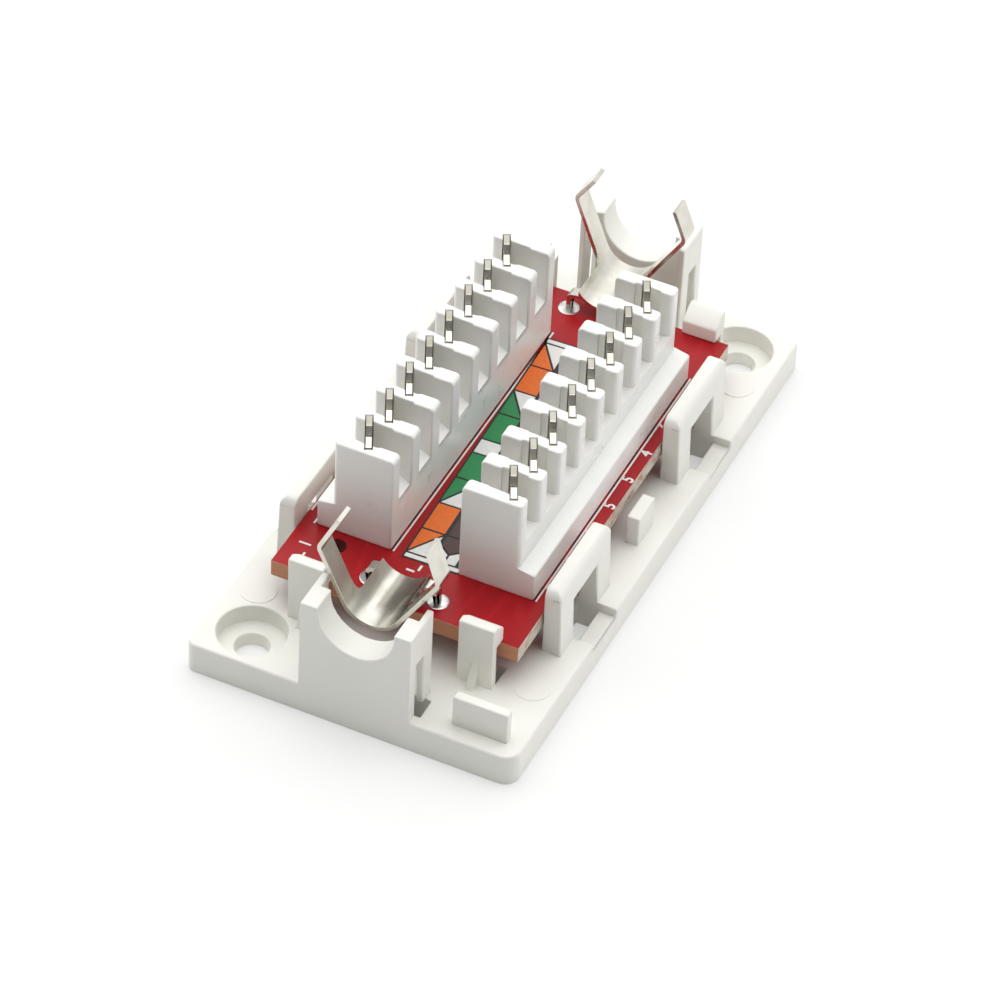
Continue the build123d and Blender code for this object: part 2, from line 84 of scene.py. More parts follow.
def length(name, description, millimetres):
    """A size in metres."""
    return FloatProperty(
        name=name,
        description=description,
        default=millimetres * MM,
        min=0.0,
        precision=5,
        unit="LENGTH",
        subtype="DISTANCE",
    )


def colour(name, description, red, green, blue):
    """A linear colour."""
    return FloatVectorProperty(
        name=name,
        description=description,
        default=(red, green, blue),
        size=3,
        min=0.0,
        max=1.0,
        subtype="COLOR",
    )


def angle(name, description, degrees):
    """An angle in radians."""
    return FloatProperty(
        name=name, description=description, default=radians(degrees), subtype="ANGLE"
    )


def amount(name, description, value):
    """A plain number that can't be negative."""
    return FloatProperty(name=name, description=description, default=value, min=0.0)


class BoxSizes(bpy.types.PropertyGroup):
    """Sizes of edges, print and pads."""

    moulding_edge: length("Moulding edge", "Roundness of the base's edges", 0.16)
    block_edge: length("Block edge", "Roundness of the terminal blocks' edges", 0.18)
    metal_edge: length("Metal edge", "Roundness of stamped metal edges", 0.05)
    board_edge: length("Board edge", "Roundness of the board's cut edges", 0.03)
    ink: length("Ink", "Thickness of the printed ink", 0.025)
    outline: length("Outline", "Width of the black lines between colour fields", 0.2)
    pad_radius: length("Pad radius", "Radius of the tinned pads round the clips' legs", 0.98)
    pad_rise: length("Pad rise", "Height of the solder on those pads", 0.06)
    stroke: length("Numeral stroke", "How much the strokes of the numbers are thickened", 0.035)
    numeral: length("Numeral height", "Height of the printed numbers", 1.1)


class BoxColours(bpy.types.PropertyGroup):
    """Colours of the plastics, the board, its print and the metals."""

    moulding: colour("Moulding", "Off-white plastic of the base", 0.87, 0.865, 0.81)
    block: colour("Block", "White plastic of the terminal blocks", 0.90, 0.90, 0.87)
    mask: colour("Board", "Red coating of the board", 0.36, 0.007, 0.011)
    laminate: colour("Laminate", "Cut edge of the board", 0.52, 0.19, 0.10)
    orange: colour("Orange", "Orange fields", 0.80, 0.16, 0.015)
    green: colour("Green", "Green fields", 0.02, 0.25, 0.075)
    brown: colour("Brown", "Brown fields", 0.075, 0.04, 0.03)
    blue: colour("Blue", "Blue fields", 0.02, 0.09, 0.42)
    white: colour("White", "White print", 0.80, 0.80, 0.78)
    black: colour("Black", "Black print", 0.012, 0.011, 0.012)
    contact: colour("Contact", "Plated contacts", 0.84, 0.81, 0.72)
    spring: colour("Spring", "Plated spring clips", 0.66, 0.645, 0.585)
    solder: colour("Solder", "Solder and tinned pads", 0.74, 0.74, 0.73)


class StageSettings(bpy.types.PropertyGroup):
    """The camera's place, the light and the floor."""

    azimuth: angle("Azimuth", "Camera's turn about the vertical", 23.35)
    elevation: angle("Elevation", "Camera's height as an angle", 42.38)
    roll: angle("Roll", "Camera's tilt", 3.04)
    place: FloatVectorProperty(
        name="Camera place",
        description="Where the camera stands",
        default=(0.1317, -0.3057, 0.3051),
        subtype="TRANSLATION",
        unit="LENGTH",
    )
    lens: amount("Lens", "Focal length in millimetres", 188.25)
    front_light: amount("Front light", "Light from the low front", 0.03)
    side_light: amount("Side light", "Light from both sides", 0.57)
    dome_light: amount("Dome light", "Light from above and behind", 1.08)
    overhead: amount("Overhead", "Share of light added straight overhead", 1.05)
    floor_tone: amount("Floor", "Tone of the floor that the camera sees", 0.52)
    floor_glow: amount("Floor glow", "Light added to the floor in view", 0.4)


# Shader maths

BLACK = (0.0, 0.0, 0.0)
WHITE = (1.0, 1.0, 1.0)
# Sockets of the Mix node when it mixes colours
MIX_SHARE, MIX_FIRST, MIX_SECOND, MIX_RESULT = 0, 6, 7, 2


class Wire:
    """One output of a node, which can stand in a sum like a number."""

    def __init__(self, recipe, socket):
        self.recipe = recipe
        self.socket = socket

    def maths(self, operation, first, second):
        """A Math node on two values."""
        return self.recipe.node("ShaderNodeMath", {"operation": operation}, {0: first, 1: second})

    def __add__(self, other):
        return self.maths("ADD", self, other)

    __radd__ = __add__

    def __sub__(self, other):
        return self.maths("SUBTRACT", self, other)

    def __rsub__(self, other):
        return self.maths("SUBTRACT", other, self)

    def __mul__(self, other):
        return self.maths("MULTIPLY", self, other)

    __rmul__ = __mul__


class Recipe:
    """A tree of nodes, with the shader that they feed."""

    def __init__(self, owner, shader):
        owner.use_nodes = True
        self.tree = owner.node_tree
        self.shader = self.tree.nodes[shader]

    def node(self, kind, settings, inputs, output=0):
        """Adds one node: its settings first, then the values or wires of its inputs."""
        made = self.tree.nodes.new(kind)
        for setting, value in settings.items():
            if setting == "stops":
                self.set_stops(made.color_ramp, value)
            else:
                setattr(made, setting, value)
        for key, value in inputs.items():
            self.feed(made.inputs[key], value)
        return Wire(self, made.outputs[output])

    def set_stops(self, ramp, stops):
        """The places and greys of a ramp."""
        while len(ramp.elements) < len(stops):
            ramp.elements.new(1.0)
        for element, (place, grey) in zip(ramp.elements, stops):
            element.position = place
            element.color = (grey, grey, grey, 1.0)

    def feed(self, socket, value):
        """Gives a socket its value, or joins it to a wire."""
        if isinstance(value, Wire):
            self.tree.links.new(value.socket, socket)
        else:
            socket.default_value = value

    def blend(self, share, first, second):
        """One colour turning to another as the share goes from 0 to 1."""
        settings = {"data_type": "RGBA", "blend_type": "MIX"}
        inputs = {MIX_SHARE: share, MIX_FIRST: opaque(first), MIX_SECOND: opaque(second)}
        return self.node("ShaderNodeMix", settings, inputs, MIX_RESULT)

    def ramp(self, value, *stops):
        """A value bent through a ramp."""
        return self.node("ShaderNodeValToRGB", {"stops": stops}, {"Fac": value})

    def along(self, axis, vector):
        """One number of a vector: its X, Y or Z."""
        return self.node("ShaderNodeSeparateXYZ", {}, {"Vector": vector}, axis)

    def ray(self, kind):
        """Whether a ray is of a kind, as 0 or 1."""
        return self.node("ShaderNodeLightPath", {}, {}, kind)


class Finish(Recipe):
    """A material for the box or the floor."""

    def __init__(self, name, **constants):
        self.material = bpy.data.materials.new(name)
        super().__init__(self.material, "Principled BSDF")
        for socket, value in constants.items():
            self.shader.inputs[socket.replace("_", " ")].default_value = value

    def place(self):
        """Where the shaded point is, in the object's own frame."""
        return self.node("ShaderNodeTexCoord", {}, {}, "Object")

    def noise(self, size, detail=2.0, stretch=(1.0, 1.0, 1.0)):
        """A soft random value from 0 to 1, with blotches as wide as the size over the stretch."""
        place = self.node("ShaderNodeMapping", {}, {"Vector": self.place(), "Scale": stretch})
        inputs = {"Vector": place, "Scale": 1.0 / size, "Detail": detail}
        return self.node("ShaderNodeTexNoise", {}, inputs)

    def colour(self, value):
        """Sets the colour, which may change over the surface."""
        self.feed(self.shader.inputs["Base Color"], opaque(value))

    def roughness(self, value):
        """Sets the roughness, which may change over the surface."""
        self.feed(self.shader.inputs["Roughness"], value)

    def relief(self, height, depth, strength=1.0):
        """Surface relief: a height from 0 to 1, as deep as the depth."""
        inputs = {"Height": height, "Distance": depth, "Strength": strength}
        bump = self.node("ShaderNodeBump", {}, inputs)
        self.feed(self.shader.inputs["Normal"], bump)


def opaque(value):
    """A colour with its fourth number, or a wire as it is."""
    return value if isinstance(value, Wire) else (*value, 1.0)


def shade(tone, factor):
    """A colour made lighter or darker."""
    return tuple(min(1.0, channel * factor) for channel in tone)


# Finishes

def moulded_plastic(name, tone, roughness):
    """Moulded plastic with a fine grain, faint flow clouds and a few specks."""
    finish = Finish(name, IOR=1.5)
    clouds = finish.noise(7 * MM, 3.0)
    specks = finish.ramp(finish.noise(0.5 * MM, 1.0), (0.76, 0.0), (0.82, 1.0))
    clean = finish.blend(clouds, shade(tone, 0.965), shade(tone, 1.02))
    finish.colour(finish.blend(specks * 0.1, clean, shade(tone, 0.62)))
    grain = finish.noise(0.14 * MM, 3.0)
    wear = finish.noise(2.4 * MM, 4.0)
    finish.roughness(roughness + 0.16 * wear + 0.08 * grain - 0.1)
    finish.relief(grain + 0.3 * wear, 0.007 * MM, 0.5)
    return finish.material


def board_coating(tone):
    """Glossy coating of the board, a little lighter where copper runs below it."""
    finish = Finish("board_coating", IOR=1.33)
    weave = finish.noise(0.32 * MM, 2.0)
    copper = finish.noise(3.1 * MM, 0.0, (1.0, 0.35, 1.0))
    runs = finish.ramp(copper, (0.47, 0.0), (0.5, 1.0), (0.56, 1.0), (0.59, 0.0))
    clouds = finish.noise(5 * MM, 2.0)
    plain = finish.blend(clouds, shade(tone, 0.88), shade(tone, 1.06))
    finish.colour(finish.blend(runs * 0.25, plain, shade(tone, 1.4)))
    finish.roughness(0.28 + 0.08 * weave + 0.04 * runs)
    finish.relief(runs + 0.1 * weave, 0.012 * MM, 0.5)
    return finish.material


def hole_wall_painted_shade():
    """The wall of a drilled hole, painted dark as the shade inside the hole, with drill scores."""
    finish = Finish("hole_wall_painted_shade", IOR=1.5)
    scores = finish.noise(0.2 * MM, 2.0, (1.0, 1.0, 4.0))
    finish.colour(finish.blend(scores, (0.12, 0.014, 0.014), (0.2, 0.03, 0.025)))
    finish.roughness(0.45 + 0.3 * scores)
    finish.relief(scores, 0.02 * MM, 0.5)
    return finish.material


def snapped_edge(tone):
    """Long edge of the board, where it was snapped from its panel: pale, torn fibres."""
    finish = Finish("snapped_edge", IOR=1.5)
    tears = finish.noise(0.9 * MM, 4.0, (1.0, 0.7, 1.3))
    fibres = finish.noise(0.16 * MM, 3.0)
    torn = finish.ramp(tears, (0.28, 0.0), (0.52, 1.0))
    pale = finish.blend(fibres, (0.44, 0.38, 0.29), (0.80, 0.76, 0.67))
    finish.colour(finish.blend(torn, shade(tone, 0.8), pale))
    finish.roughness(0.6 + 0.25 * fibres)
    finish.relief(tears + 0.4 * fibres, 0.12 * MM, 0.8)
    return finish.material


def board_laminate(tone):
    """Cut edge of the board: layers of glass cloth in resin."""
    finish = Finish("board_laminate", IOR=1.5)
    layers = finish.noise(0.55 * MM, 2.0, (0.25, 0.25, 6.0))
    fibres = finish.noise(0.12 * MM, 2.0)
    cut = finish.blend(layers, shade(tone, 0.62), shade(tone, 1.35))
    finish.colour(finish.blend(fibres * 0.35, cut, (0.75, 0.5, 0.3)))
    finish.roughness(0.5 + 0.25 * fibres)
    finish.relief(layers + 0.5 * fibres, 0.03 * MM, 0.6)
    return finish.material


def ink_finish(name, tone):
    """Screen-printed ink: slightly uneven cover and a dull sheen."""
    finish = Finish(name, IOR=1.48)
    cover = finish.noise(0.45 * MM, 3.0)
    mesh_marks = finish.noise(0.09 * MM, 1.0)
    finish.colour(finish.blend(cover, shade(tone, 0.88), shade(tone, 1.1)))
    finish.roughness(0.34 + 0.2 * mesh_marks)
    finish.relief(mesh_marks + cover, 0.006 * MM, 0.5)
    return finish.material


# The painted dark reflection on the right flank of the front clip's trough, as two ramps: one
# across, over a width that starts a little left of the middle, and one forward from the centre,
# which ends where the strip begins
FLANK_LEFT = 1 * MM
FLANK_WIDTH = 5 * MM
FLANK_FORWARD = 30 * MM
FLANK_ACROSS = ((0.05, 0.0), (0.11, 1.0), (0.62, 1.0), (0.7, 0.0))
FLANK_ALONG = ((0.78, 1.0), (0.82, 0.0))


def flank_painted_reflection(finish, share, plain, dull):
    """The metal's plain colour with a painted dark reflection on the right flank of the front
    clip's trough.
    """
    across = (finish.along("X", finish.place()) + FLANK_LEFT) * (1 / FLANK_WIDTH)
    forward = finish.along("Y", finish.place()) * (-1 / FLANK_FORWARD)
    flank = finish.ramp(across, *FLANK_ACROSS) * finish.ramp(forward, *FLANK_ALONG)
    return finish.blend(share * flank, plain, dull)


def plated_metal(name, tone, roughness, streaks, tarnish, flank=0.0):
    """Plated sheet metal with streaks from rolling, a slight tarnish and a share of painted dark
    reflection on a flank.
    """
    finish = Finish(name, Metallic=1.0)
    lines = finish.noise(0.09 * MM, 3.0, streaks)
    stains = finish.ramp(finish.noise(1.7 * MM, 4.0), (0.42, 0.0), (0.74, 1.0))
    bright = finish.blend(lines, shade(tone, 0.9), shade(tone, 1.08))
    plain = finish.blend(stains * 0.4, bright, tarnish)
    # A share above nought paints a dark reflection onto the front clip's trough flank
    if flank:
        plain = flank_painted_reflection(finish, flank, plain, shade(tarnish, 0.4))
    finish.colour(plain)
    finish.roughness(roughness + 0.12 * lines + 0.14 * stains)
    finish.relief(lines, 0.004 * MM, 0.5)
    return finish.material


def solder_finish(name, tone, grain_size):
    """Bright solder with the dull, wrinkled patches that it sets with."""
    finish = Finish(name, Metallic=1.0)
    wrinkles = finish.noise(grain_size, 4.0)
    dull = finish.ramp(finish.noise(grain_size * 3, 2.0), (0.4, 0.0), (0.65, 1.0))
    finish.colour(finish.blend(dull, tone, shade(tone, 0.72)))
    finish.roughness(0.16 + 0.26 * dull)
    finish.relief(wrinkles, 0.03 * MM, 0.5)
    return finish.material


# Meshes

def new_piece(name, work, finishes):
    """A new object in the row frame made from the worked mesh."""
    mesh = bpy.data.meshes.new(name)
    work.to_mesh(mesh)
    work.free()
    for finish in finishes:
        mesh.materials.append(finish)
    piece = bpy.data.objects.new(name, mesh)
    bpy.context.scene.collection.objects.link(piece)
    return piece


def belongs(piece, slot, *nodes):
    """Joins a piece to the box and hides the solids that it stands for; its slot is not used."""
    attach(piece, "root")
    if nodes:
        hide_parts(*nodes)


def merged_solid(node):
    """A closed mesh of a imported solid, with its flat faces whole."""
    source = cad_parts[node].data.copy()
    source.attributes.remove(source.attributes["custom_normal"])
    work = bmesh.new()
    work.from_mesh(source)
    bpy.data.meshes.remove(source)
    bmesh.ops.remove_doubles(work, verts=work.verts, dist=MERGE_DISTANCE)
    bmesh.ops.dissolve_limit(
        work,
        angle_limit=FLAT_ANGLE,
        use_dissolve_boundaries=False,
        verts=work.verts,
        edges=work.edges,
    )
    for layer in list(work.loops.layers.uv.values()):
        work.loops.layers.uv.remove(layer)
    mark_corners(work)
    return work


def mark_corners(work):
    """Marks the outward corners, which are to be rounded. Inward ones stay sharp, as in a mould."""
    weights = work.edges.layers.float.new("bevel_weight_edge")
    for face in work.faces:
        face.smooth = True
    for edge in work.edges:
        edge.smooth = edge.calc_face_angle(pi) < CORNER_ANGLE
        outward = edge.is_manifold and edge.calc_face_angle_signed() > CORNER_ANGLE
        if outward and not any(slot_wall(face) or narrow_step(face) for face in edge.link_faces):
            edge[weights] = 1.0


def slot_wall(face):
    """Whether a face is a wall of a contact's slot, which runs at an angle to the row."""
    turn = abs(atan2(face.normal.y, face.normal.x)) % (pi / 2)
    away = min(abs(turn - SLOT_ANGLE), abs(pi / 2 - turn - SLOT_ANGLE))
    upright = abs(face.normal.z) < UPRIGHT and face.calc_area() > SLOT_WALL_AREA
    return upright and away < SLOT_MARGIN


def narrow_step(face):
    """Whether a face is a step that is too narrow for rounded edges."""
    longest = max(face.edges, key=bmesh.types.BMEdge.calc_length)
    is_corner = longest.is_manifold and longest.calc_face_angle() > CORNER_ANGLE
    return is_corner and face.calc_area() < STEP_WIDTH * longest.calc_length()


def soften(piece, width, segments):
    """Rounds the marked edges of a piece and keeps its flat faces flat."""
    bevel = piece.modifiers.new("soft_edges", "BEVEL")
    bevel.width = width
    bevel.segments = segments
    bevel.profile = 0.5
    bevel.limit_method = "WEIGHT"
    bevel.use_clamp_overlap = False
    bevel.harden_normals = True


def softened_solid(node, name, finish, width, segments=2):
    """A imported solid's shape with softened edges and its finish."""
    piece = new_piece(name, merged_solid(node), [finish])
    soften(piece, width, segments)
    return piece


def box_corners(left, right, low, high):
    """The corners of an upright rectangle."""
    return [(left, low), (right, low), (right, high), (left, high)]


def slab(work, corners, low, high, margin=0.0):
    """A thin slab between two heights, which keeps a margin inside its outline."""
    face = work.faces.new([work.verts.new((x, y, low)) for x, y in corners])
    if margin:
        face.normal_update()
        inset = bmesh.ops.inset_individual(
            work, faces=[face], thickness=margin, use_even_offset=True
        )
        bmesh.ops.delete(work, geom=inset["faces"], context="FACES")
    grown = bmesh.ops.extrude_face_region(work, geom=[face])["geom"]
    tops = [part for part in grown if isinstance(part, bmesh.types.BMVert)]
    bmesh.ops.translate(work, verts=tops, vec=(0.0, 0.0, high - low))
    bmesh.ops.recalc_face_normals(work, faces=work.faces)


def spun(work, x, y, profile, steps):
    """Spins a line of (radius, height) points round the upright at x and y, as a closed skin."""
    points = [work.verts.new((x + radius, y, z)) for radius, z in profile]
    edges = [work.edges.new(pair) for pair in zip(points, points[1:])]
    bmesh.ops.spin(
        work,
        geom=points + edges,
        cent=(x, y, 0.0),
        axis=(0.0, 0.0, 1.0),
        angle=2 * pi,
        steps=steps,
        use_merge=True,
    )


def round_piece(name, work, finish):
    """A new smooth piece from spun skins, each joined where its turn ends."""
    bmesh.ops.remove_doubles(work, verts=work.verts, dist=MERGE_DISTANCE)
    bmesh.ops.recalc_face_normals(work, faces=work.faces)
    piece = new_piece(name, work, [finish])
    piece.data.shade_smooth()
    return piece


# Pieces

def settings():
    """The sizes, the colours and the stage's settings."""
    scene = bpy.context.scene
    return scene.box_sizes, scene.box_colours, scene.box_stage


class BOX_OT_moulding(bpy.types.Operator):
    """Makes the moulded base with softened edges"""

    bl_idname = "box.moulding"
    bl_label = "Moulded base"

    def execute(self, context):
        sizes, colours, _ = settings()
        finish = moulded_plastic("base_plastic", colours.moulding, 0.42)
        piece = softened_solid("base", "moulded_base", finish, sizes.moulding_edge)
        belongs(piece, "base_plastic", "base")
        return {"FINISHED"}


class BOX_OT_blocks(bpy.types.Operator):
    """Makes the two terminal blocks with softened edges"""

    bl_idname = "box.blocks"
    bl_label = "Terminal blocks"

    def execute(self, context):
        sizes, colours, _ = settings()
        finish = moulded_plastic("block_plastic", colours.block, 0.28)
        for side in ("left", "right"):
            node = f"terminal_block_{side}"
            piece = softened_solid(node, f"block_{side}", finish, sizes.block_edge)
            belongs(piece, "block_plastic", node)
        return {"FINISHED"}


CONTACT_STREAKS = (4.0, 4.0, 0.25)
CONTACT_TARNISH = (0.42, 0.38, 0.27)
PAINTED_SHADE_TARNISH = (0.3, 0.26, 0.14)
# How far behind a contact's middle its rear tip begins, whose top is painted darker as shade
REAR_TIP = 0.3 * MM


class BOX_OT_contacts(bpy.types.Operator):
    """Makes the sixteen plated contacts"""

    bl_idname = "box.contacts"
    bl_label = "Contacts"

    def execute(self, context):
        sizes, colours, _ = settings()
        tone = colours.contact
        bright = plated_metal("contact_metal", tone, 0.2, CONTACT_STREAKS, CONTACT_TARNISH)
        # A darker, rougher copy of the metal: its darkness is painted shade on the rear tips' tops
        dull = shade(tone, 0.62)
        painted_shade_tip = plated_metal("contact_painted_shade", dull, 0.34, CONTACT_STREAKS, PAINTED_SHADE_TARNISH)
        for side in ("left", "right"):
            for way in range(1, WAYS + 1):
                self.make_contact(side, way, [bright, painted_shade_tip], sizes.metal_edge)
        return {"FINISHED"}

    def make_contact(self, side, way, finishes, edge):
        """Makes one contact, with the top of its rear tip in a darker copy of the metal: painted
        shade.
        """
        node = f"idc_contact_{side}_{way}"
        work = merged_solid(node)
        tip = FIRST_CONTACT_Y + PITCH * (way - 1) + REAR_TIP
        for face in work.faces:
            on_top = face.normal.z > ON_TOP
            face.material_index = 1 if on_top and face.calc_center_median().y > tip else 0
        piece = new_piece(f"contact_{side}_{way}", work, finishes)
        soften(piece, edge, 2)
        belongs(piece, "contact_metal", node)


# The board's finishes, in the order of its material slots
COATED, SAWN, SNAPPED, DRILLED = range(4)
# How near to the board's outline a face belongs to its edge
EDGE_REACH = MM / 10


class BOX_OT_board(bpy.types.Operator):
    """Makes the circuit board, coated on its faces and bare on its cut edges"""

    bl_idname = "box.board"
    bl_label = "Circuit board"

    def execute(self, context):
        sizes, colours, _ = settings()
        work = merged_solid("circuit_board")
        for face in work.faces:
            face.material_index = self.kind_of(face)
        finishes = [
            board_coating(colours.mask),
            board_laminate(colours.laminate),
            snapped_edge(colours.laminate),
            hole_wall_painted_shade(),
        ]
        piece = new_piece("board", work, finishes)
        soften(piece, sizes.board_edge, 1)
        belongs(piece, "circuit_board", "circuit_board")
        return {"FINISHED"}

    def kind_of(self, face):
        """Which finish a face has: coated, sawn end, snapped side or drilled wall in painted shade.
        """
        if abs(face.normal.z) > ON_TOP:
            return COATED
        middle = face.calc_center_median()
        if abs(middle.y) > BOARD_HIGH.y - EDGE_REACH:
            return SAWN
        return SNAPPED if abs(middle.x) > BOARD_HIGH.x - EDGE_REACH else DRILLED


# Where the clips' legs go through the board
LEG_X = 3.1 * MM
LEG_Y = 19.6 * MM
LEGS = [(x, y) for x in (-LEG_X, LEG_X) for y in (-LEG_Y, LEG_Y)]
# From the middle of a pad's underside to its crown: share of its radius, and of its rise
PAD_PROFILE = (
    (0.0, 0.0),
    (1.0, 0.0),
    (0.99, 0.2),
    (0.9, 0.45),
    (0.7, 0.75),
    (0.4, 0.95),
    (0.0, 1.0),
)
PAD_STEPS = 40


class BOX_OT_pads(bpy.types.Operator):
    """Makes the tinned pads round the clips' legs, each a low dome of solder on the board"""

    bl_idname = "box.pads"
    bl_label = "Tinned pads"

    def execute(self, context):
        sizes, colours, _ = settings()
        profile = [
            (share * sizes.pad_radius, BOARD_HIGH.z + rise * sizes.pad_rise)
            for share, rise in PAD_PROFILE
        ]
        work = bmesh.new()
        for x, y in LEGS:
            spun(work, x, y, profile, PAD_STEPS)
        finish = solder_finish("tinned_pad", colours.solder, 0.4 * MM)
        belongs(round_piece("leg_pads", work, finish), "solder")
        return {"FINISHED"}


# The printed strip between the blocks lies a little askew. Its own lengths are in millimetres,
# across from its left edge and along from its front end.

STRIP_PLACE = (-1.93 * MM, -16.05 * MM)
STRIP_TURN = radians(1.9)
STRIP_WIDTH = 5.1
STRIP_LENGTH = 31.0
STRIP_RIM = 0.08
FIELD = 2.2
FIELD_GAP = 0.15
# Where the fields meet along the strip, and between which of those ends each kind lies: fields
# parted into a colour and white, from their white end, fields of one colour and the middle one
FIELD_ENDS = (0.65, 3.9, 7.4, 10.95, 14.45, 16.4, 20.05, 23.4, 27.05, 30.35)
PARTED_FIELDS = ((0, 1), (2, 3), (7, 6), (9, 8))
PLAIN_FIELDS = ((1, 2), (3, 4), (5, 6), (7, 8))
MIDDLE_FIELD = 4
# How far a point reaches past its shoulders, and how far those lie from the coloured end
TIP_LENGTH = 0.9
TIP_START = 1.25


def striped_field(tone, left, right, low, high):
    """A field cut by its diagonal, with the colour on the left and white on the right."""
    return [
        (tone, [(left, low), (right, high), (left, high)]),
        ("white", [(left, low), (right, low), (right, high)]),
    ]


def pointed_field(tone, left, right, low, high):
    """A field whose colour ends in a point towards low, with white on both sides of the point."""
    middle = (left + right) / 2
    shoulder = high - TIP_START if high > low else high + TIP_START
    point = shoulder - TIP_LENGTH if high > low else shoulder + TIP_LENGTH
    return [
        (tone, [(left, high), (left, shoulder), (middle, point), (right, shoulder), (right, high)]),
        ("white", [(left, low), (middle, low), (middle, point), (left, shoulder)]),
        ("white", [(middle, low), (right, low), (right, shoulder), (middle, point)]),
    ]


def colour_fields():
    """Every colour field of the strip, as its colour and its corners in millimetres."""
    ends = FIELD_ENDS
    second = FIELD + FIELD_GAP
    columns = (
        (striped_field, 0.0, FIELD, ("orange", "green", "green", "orange")),
        (pointed_field, second, second + FIELD, ("brown", "blue", "blue", "brown")),
    )
    fields = []
    for make, left, right, tones in columns:
        for tone, (outer, inner), (low, high) in zip(tones, PARTED_FIELDS, PLAIN_FIELDS):
            fields += make(tone, left, right, ends[outer], ends[inner])
            fields.append((tone, box_corners(left, right, ends[low], ends[high])))
        low, high = ends[MIDDLE_FIELD], ends[MIDDLE_FIELD + 1]
        fields.append(("white", box_corners(left, right, low, high)))
    for low, high in ((0.0, ends[0]), (ends[-1], STRIP_LENGTH)):
        fields.append(("white", box_corners(0.0, STRIP_WIDTH, low, high)))
    return fields


def on_strip(corners):
    """Corners across and along the strip, in the row frame."""
    turn = Matrix.Rotation(STRIP_TURN, 2)
    return [Vector(STRIP_PLACE) + turn @ Vector((x * MM, y * MM)) for x, y in corners]


class BOX_OT_fields(bpy.types.Operator):
    """Makes the strip of colour fields between the terminal blocks"""

    bl_idname = "box.fields"
    bl_label = "Colour fields"

    def execute(self, context):
        sizes, colours, _ = settings()
        low = BOARD_HIGH.z
        middle = low + sizes.ink
        high = middle + sizes.ink
        work = bmesh.new()
        rim = box_corners(-STRIP_RIM, STRIP_WIDTH, -STRIP_RIM, STRIP_LENGTH + STRIP_RIM)
        slab(work, on_strip(rim), low, middle)
        ground = new_piece("strip_ground", work, [ink_finish("ink_black", colours.black)])
        belongs(ground, "circuit_board")
        for tone in ("orange", "green", "brown", "blue", "white"):
            work = bmesh.new()
            for name, corners in colour_fields():
                if name == tone:
                    slab(work, on_strip(corners), middle, high, sizes.outline / 2)
            finish = ink_finish(f"ink_{tone}", getattr(colours, tone))
            belongs(new_piece(f"fields_{tone}", work, [finish]), "circuit_board")
        return {"FINISHED"}


# A dash of painted shade at a block's foot: its length, and how far behind the wall between two
# ways its middle lies
DASH = 2.25 * MM
DASH_SHIFT = 0.2 * MM
# From a block's foot: where its dashes begin, where they meet the white line and where that ends
LINE_REACHES = (0.02 * MM, 0.13 * MM, 0.29 * MM)

# Short white marks on the board: left end, front end, width and depth in millimetres
SHORT_MARKS = (
    (-9.42, -20.1, 0.2, 0.65),
    (-0.96, -17.42, 0.75, 0.22),
    (-0.07, -17.05, 0.22, 0.7),
    (-0.96, -18.36, 0.73, 0.22),
    (0.24, -18.3, 0.55, 0.2),
    (-11.3, -14.5, 0.2, 1.1),
)


class BOX_OT_lines(bpy.types.Operator):
    """Makes the printed lines along the blocks, the black dashes of painted shade at the blocks'
    feet beside them and the short marks
    """

    bl_idname = "box.lines"
    bl_label = "Printed lines"

    def execute(self, context):
        sizes, colours, _ = settings()
        low = BOARD_HIGH.z
        high = low + sizes.ink
        end = BLOCK_HIGH.y
        white, black = bmesh.new(), bmesh.new()
        for side in (-1, 1):
            for foot, away in ((BLOCK_LOW.x, -1), (BLOCK_HIGH.x, 1)):
                start, middle, stop = [side * (foot + away * reach) for reach in LINE_REACHES]
                line = box_corners(min(middle, stop), max(middle, stop), -end, end)
                slab(white, line, low, high)
                for way in range(WAYS + 1):
                    y = (way - WAYS / 2) * PITCH + DASH_SHIFT
                    front, rear = max(y - DASH / 2, -end), min(y + DASH / 2, end)
                    dash = box_corners(min(start, middle), max(start, middle), front, rear)
                    slab(black, dash, low, high)
        for x, y, wide, deep in SHORT_MARKS:
            mark = box_corners(x * MM, (x + wide) * MM, y * MM, (y + deep) * MM)
            slab(white, mark, low, high)
        # The black dashes are painted shade where the blocks' feet meet the board
        prints = (("white_lines", white, colours.white), ("foot_shade_dashes", black, colours.black))
        for name, work, tone in prints:
            belongs(new_piece(name, work, [ink_finish(f"ink_{name}", tone)]), "circuit_board")
        return {"FINISHED"}


# The font's size for a numeral of height 1, and how much narrower than the font it is
FONT_SIZE = 1.38
NUMERAL_SQUEEZE = 0.85

# Printed way numbers, and where their middles are in millimetres
NUMBERS = (
    ("1", -9.75, -18.45),
    ("7", 10.86, -13.75),
    ("8", 10.86, -9.95),
    ("6", 10.86, -6.1),
    ("5", 10.86, -2.3),
    ("5", 10.86, 1.45),
    ("4", 10.86, 5.2),
    ("6", 10.86, 9.1),
)


